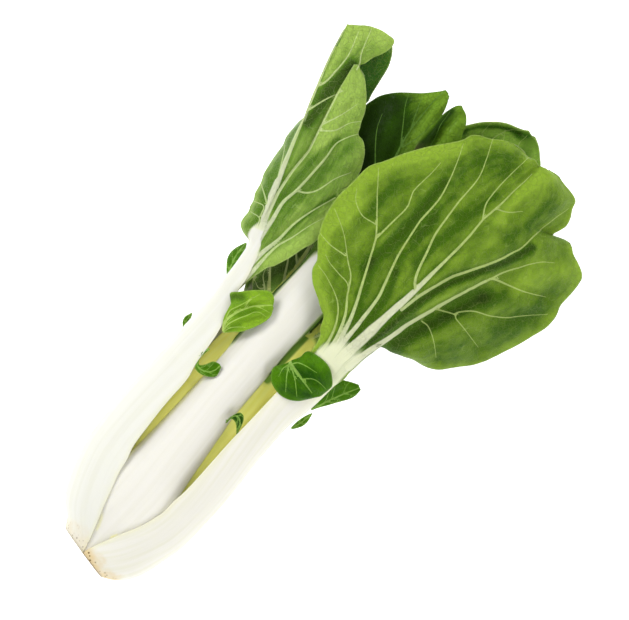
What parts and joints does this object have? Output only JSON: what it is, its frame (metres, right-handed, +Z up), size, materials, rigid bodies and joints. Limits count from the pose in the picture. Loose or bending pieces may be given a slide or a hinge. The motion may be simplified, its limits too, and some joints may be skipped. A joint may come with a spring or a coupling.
{
  "type": "bok choy",
  "caption": "Fresh head of long-stemmed bok choy lying down: thick white stalks round a short cut stem, with broad veined green leaf blades.",
  "frame": {"origin": "middle of the bottom of the bounding box, on the surface the head lies on", "axes": "+X from the trimmed stem to the leaf tips, +Y the head's left side, +Z up"},
  "size_m": [0.3148, 0.1782, 0.0596],
  "materials": {
    "cut_stem": "dry, lightly browned cut plant tissue",
    "stalk_white": "crisp white stalk, smooth and moist, faint lengthwise ribs",
    "blade_green": "green leaf, satin, with raised pale veins",
    "stalk_yellow_green": "young yellow-green stalk, smooth and moist",
    "young_green": "young light green leaf, satin",
    "leaflet_light": "small light green leaf, satin",
    "leaflet_deep": "small deep green leaf, glossy"
  },
  "bodies": {
    "root": {"root_base": "cut_stem", "left_outer_stalk": "stalk_white", "right_outer_stalk": "stalk_white", "under_stalk": "stalk_white", "top_stalk": "stalk_white", "lower_left_stalk": "stalk_white", "lower_right_stalk": "stalk_white", "left_outer_blade": "blade_green", "right_outer_blade": "blade_green", "under_blade": "blade_green", "top_blade": "blade_green", "lower_left_blade": "blade_green", "lower_right_blade": "blade_green", "inner_left_stalk": "stalk_yellow_green", "inner_right_stalk": "stalk_yellow_green", "inner_under_stalk": "stalk_yellow_green", "heart_leaf_upper": "stalk_yellow_green", "heart_leaf_lower": "stalk_yellow_green", "heart_bud": "stalk_yellow_green", "inner_left_blade": "young_green", "inner_right_blade": "young_green", "inner_under_blade": "young_green", "leaflet_left_large": "leaflet_light", "leaflet_left_curl": "leaflet_deep", "leaflet_left_back": "leaflet_deep", "leaflet_left_low": "leaflet_deep", "leaflet_slot_curl": "leaflet_deep", "leaflet_right_round": "leaflet_deep", "leaflet_right_back": "leaflet_deep", "leaflet_right_low": "leaflet_deep"}
  },
  "joints": []
}
